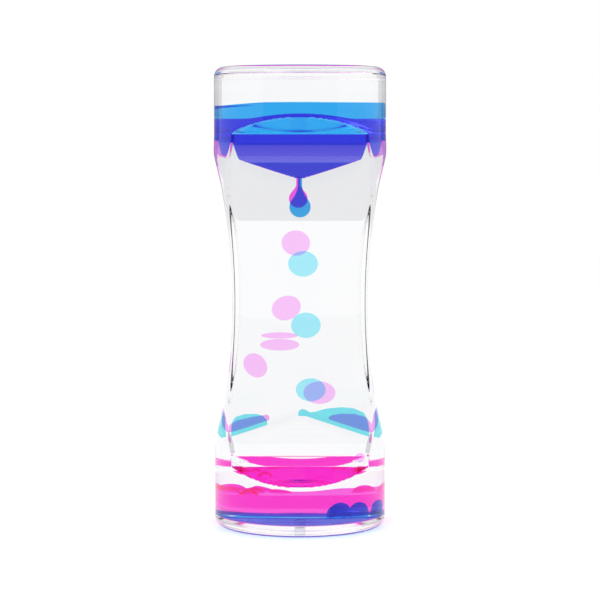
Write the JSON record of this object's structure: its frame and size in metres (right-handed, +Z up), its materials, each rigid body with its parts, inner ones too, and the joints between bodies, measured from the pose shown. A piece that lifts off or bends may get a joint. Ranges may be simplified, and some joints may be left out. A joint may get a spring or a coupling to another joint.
{
  "type": "liquid motion timer",
  "caption": "Free-standing hourglass-shaped clear timer: coloured drops fall from funnels in separate sealed cells, one behind the other, onto a roof and into a pool.",
  "frame": {"origin": "centre of the base at z = 0, the block standing upright", "axes": "+Z up along the height, -Y out of the front (the side with the cyan cell), X across the width"},
  "size_m": [0.05, 0.05, 0.134],
  "materials": {
    "clear_shell": "polished clear",
    "clear_divider": "polished clear",
    "clear_funnel": "polished clear",
    "clear_plug": "clear, slightly frosted",
    "cyan_liquid": "clear coloured liquid",
    "pink_liquid": "clear coloured liquid",
    "clear_liquid": "colourless clear liquid"
  },
  "bodies": {
    "timer": {"front_shell": "clear_shell", "back_shell": "clear_shell", "divider_sheet": "clear_divider", "front_upper_funnel": "clear_funnel", "front_lower_funnel": "clear_funnel", "back_upper_funnel": "clear_funnel", "back_lower_funnel": "clear_funnel", "front_fill_plug": "clear_plug", "back_fill_plug": "clear_plug", "cyan_upper_pool": "cyan_liquid", "cyan_lower_pool": "cyan_liquid", "cyan_roof_puddle_left": "cyan_liquid", "cyan_roof_puddle_right": "cyan_liquid", "pink_upper_pool": "pink_liquid", "pink_lower_pool": "pink_liquid", "pink_roof_puddle_left": "pink_liquid", "pink_roof_puddle_right": "pink_liquid", "front_clear_liquid": "clear_liquid", "back_clear_liquid": "clear_liquid"},
    "cyan_drop_upper_body": {"cyan_drop_upper": "cyan_liquid"},
    "cyan_drop_middle_body": {"cyan_drop_middle": "cyan_liquid"},
    "cyan_drop_lower_body": {"cyan_drop_lower": "cyan_liquid"},
    "pink_drop_upper_body": {"pink_drop_upper": "pink_liquid"},
    "pink_drop_middle_body": {"pink_drop_middle": "pink_liquid"},
    "pink_drop_split_body": {"pink_drop_split": "pink_liquid"},
    "pink_drop_left_body": {"pink_drop_left": "pink_liquid"},
    "pink_drop_lower_body": {"pink_drop_lower": "pink_liquid"},
    "pink_drop_sinking_body": {"pink_drop_sinking": "pink_liquid"}
  },
  "joints": [
    {"name": "cyan_upper_fall", "type": "slide", "parent": "timer", "child": "cyan_drop_upper_body", "axis": [0, 0, -1], "range_m": [0, 0.0099]},
    {"name": "cyan_middle_fall", "type": "slide", "parent": "timer", "child": "cyan_drop_middle_body", "axis": [0, 0, -1], "range_m": [0, 0.0109]},
    {"name": "cyan_lower_fall", "type": "slide", "parent": "timer", "child": "cyan_drop_lower_body", "axis": [0, 0, -1], "range_m": [0, 0.0021]},
    {"name": "pink_upper_fall", "type": "slide", "parent": "timer", "child": "pink_drop_upper_body", "axis": [0, 0, -1], "range_m": [0, 0.0113]},
    {"name": "pink_middle_fall", "type": "slide", "parent": "timer", "child": "pink_drop_middle_body", "axis": [0, 0, -1], "range_m": [0, 0.0034]},
    {"name": "pink_split_fall", "type": "slide", "parent": "timer", "child": "pink_drop_split_body", "axis": [0, 0, -1], "range_m": [0, 0.012]},
    {"name": "pink_left_fall", "type": "slide", "parent": "timer", "child": "pink_drop_left_body", "axis": [0, 0, -1], "range_m": [0, 0.006]},
    {"name": "pink_lower_fall", "type": "slide", "parent": "timer", "child": "pink_drop_lower_body", "axis": [0, 0, -1], "range_m": [0, 0.0015]},
    {"name": "pink_sinking_fall", "type": "slide", "parent": "timer", "child": "pink_drop_sinking_body", "axis": [0, 0, -1], "range_m": [0, 0.006]}
  ]
}
